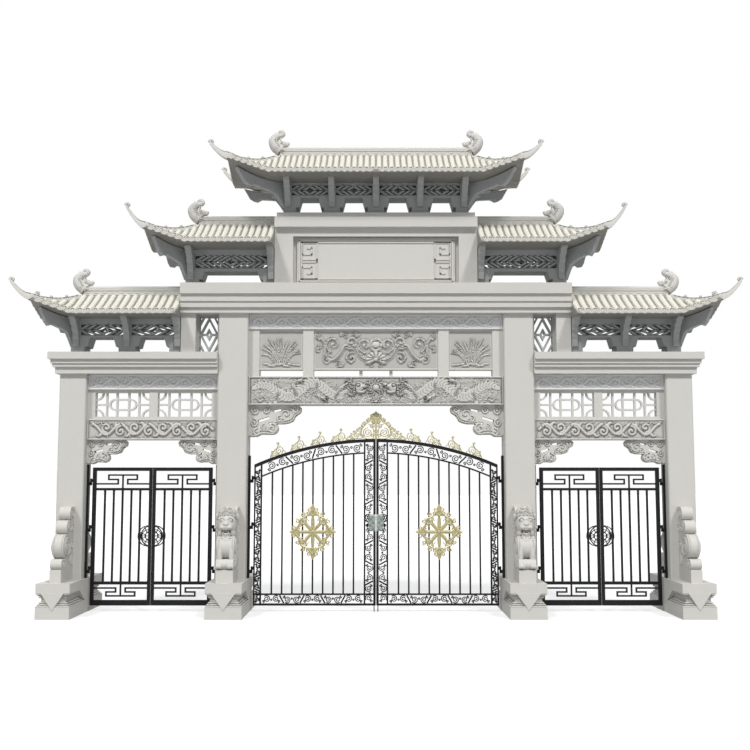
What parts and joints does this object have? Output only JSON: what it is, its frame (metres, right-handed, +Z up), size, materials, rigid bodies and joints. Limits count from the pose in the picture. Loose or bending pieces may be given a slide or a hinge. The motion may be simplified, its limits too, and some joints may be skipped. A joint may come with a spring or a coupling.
{
  "type": "granite paifang gateway",
  "caption": "Three-bay granite memorial gateway with four columns on moulded pedestals, carved beams, stepped hipped roofs and swinging iron gates.",
  "frame": {"origin": "on the ground, at the middle of the gateway, on the columns' centre plane", "axes": "+X to the right seen from the street, +Y from the street to the far side, +Z up"},
  "size_m": [13.28, 2.224, 9.051],
  "materials": {
    "grey_granite": "fine bush-hammered, matt",
    "carved_granite": "carved in relief, matt",
    "pale_tile": "pale carved tile rows, matt",
    "black_iron": "black satin paint",
    "gilt": "pale gold paint",
    "grey_casting": "grey-green painted casting"
  },
  "bodies": {
    "frame": {"pedestal_left_outer": "grey_granite", "pedestal_left_inner": "grey_granite", "pedestal_right_inner": "grey_granite", "pedestal_right_outer": "grey_granite", "column_left_outer": "grey_granite", "column_left_inner": "grey_granite", "column_right_inner": "grey_granite", "column_right_outer": "grey_granite", "drum_stones_left_outer": "carved_granite", "drum_stones_left_inner": "carved_granite", "drum_stones_right_inner": "carved_granite", "drum_stones_right_outer": "carved_granite", "side_beams": "carved_granite", "side_brackets": "carved_granite", "side_lattices": "grey_granite", "side_friezes": "carved_granite", "side_cornices": "grey_granite", "main_beam": "carved_granite", "main_brackets": "carved_granite", "panel_posts": "grey_granite", "carved_panels": "carved_granite", "main_frieze": "carved_granite", "main_cornice": "grey_granite", "short_pillars": "grey_granite", "pillar_lattices": "grey_granite", "plaque_block": "grey_granite", "plaque_boards": "carved_granite", "plaque_moulding": "grey_granite", "eave_wall_left_low": "grey_granite", "eave_wall_right_low": "grey_granite", "eave_wall_left_mid": "grey_granite", "eave_wall_right_mid": "grey_granite", "eave_wall_top": "grey_granite", "roof_left_low": "pale_tile", "roof_right_low": "pale_tile", "roof_left_mid": "pale_tile", "roof_right_mid": "pale_tile", "roof_top": "pale_tile", "roof_ridges": "grey_granite", "ridge_beasts": "carved_granite", "gate_posts": "black_iron"},
    "main_leaf_left": {"main_gate_left": "black_iron", "gilt_left": "gilt", "lock_plate_left": "grey_casting"},
    "main_leaf_right": {"main_gate_right": "black_iron", "gilt_right": "gilt", "lock_plate_right": "grey_casting"},
    "side_leaf_left_outer": {"side_gate_left_outer": "black_iron"},
    "side_leaf_left_inner": {"side_gate_left_inner": "black_iron"},
    "side_leaf_right_inner": {"side_gate_right_inner": "black_iron"},
    "side_leaf_right_outer": {"side_gate_right_outer": "black_iron"},
    "bolt_left": {"drop_bolt_left": "black_iron"},
    "bolt_right": {"drop_bolt_right": "black_iron"}
  },
  "joints": [
    {"name": "main_left_swing", "type": "hinge", "parent": "frame", "child": "main_leaf_left", "pos_m": [-2.283, 0, 1.5], "axis": [0, 0, 1], "range_deg": [0, 90]},
    {"name": "main_right_swing", "type": "hinge", "parent": "frame", "child": "main_leaf_right", "pos_m": [2.283, 0, 1.5], "axis": [0, 0, -1], "range_deg": [0, 90]},
    {"name": "side_left_outer_swing", "type": "hinge", "parent": "frame", "child": "side_leaf_left_outer", "pos_m": [-5.268, 0, 1.5], "axis": [0, 0, 1], "range_deg": [0, 90]},
    {"name": "side_left_inner_swing", "type": "hinge", "parent": "frame", "child": "side_leaf_left_inner", "pos_m": [-2.992, 0, 1.5], "axis": [0, 0, -1], "range_deg": [0, 90]},
    {"name": "side_right_inner_swing", "type": "hinge", "parent": "frame", "child": "side_leaf_right_inner", "pos_m": [2.992, 0, 1.5], "axis": [0, 0, 1], "range_deg": [0, 90]},
    {"name": "side_right_outer_swing", "type": "hinge", "parent": "frame", "child": "side_leaf_right_outer", "pos_m": [5.268, 0, 1.5], "axis": [0, 0, -1], "range_deg": [0, 90]},
    {"name": "bolt_left_lift", "type": "slide", "parent": "main_leaf_left", "child": "bolt_left", "axis": [0, 0, 1], "range_m": [0, 0.12]},
    {"name": "bolt_right_lift", "type": "slide", "parent": "main_leaf_right", "child": "bolt_right", "axis": [0, 0, 1], "range_m": [0, 0.12]}
  ]
}
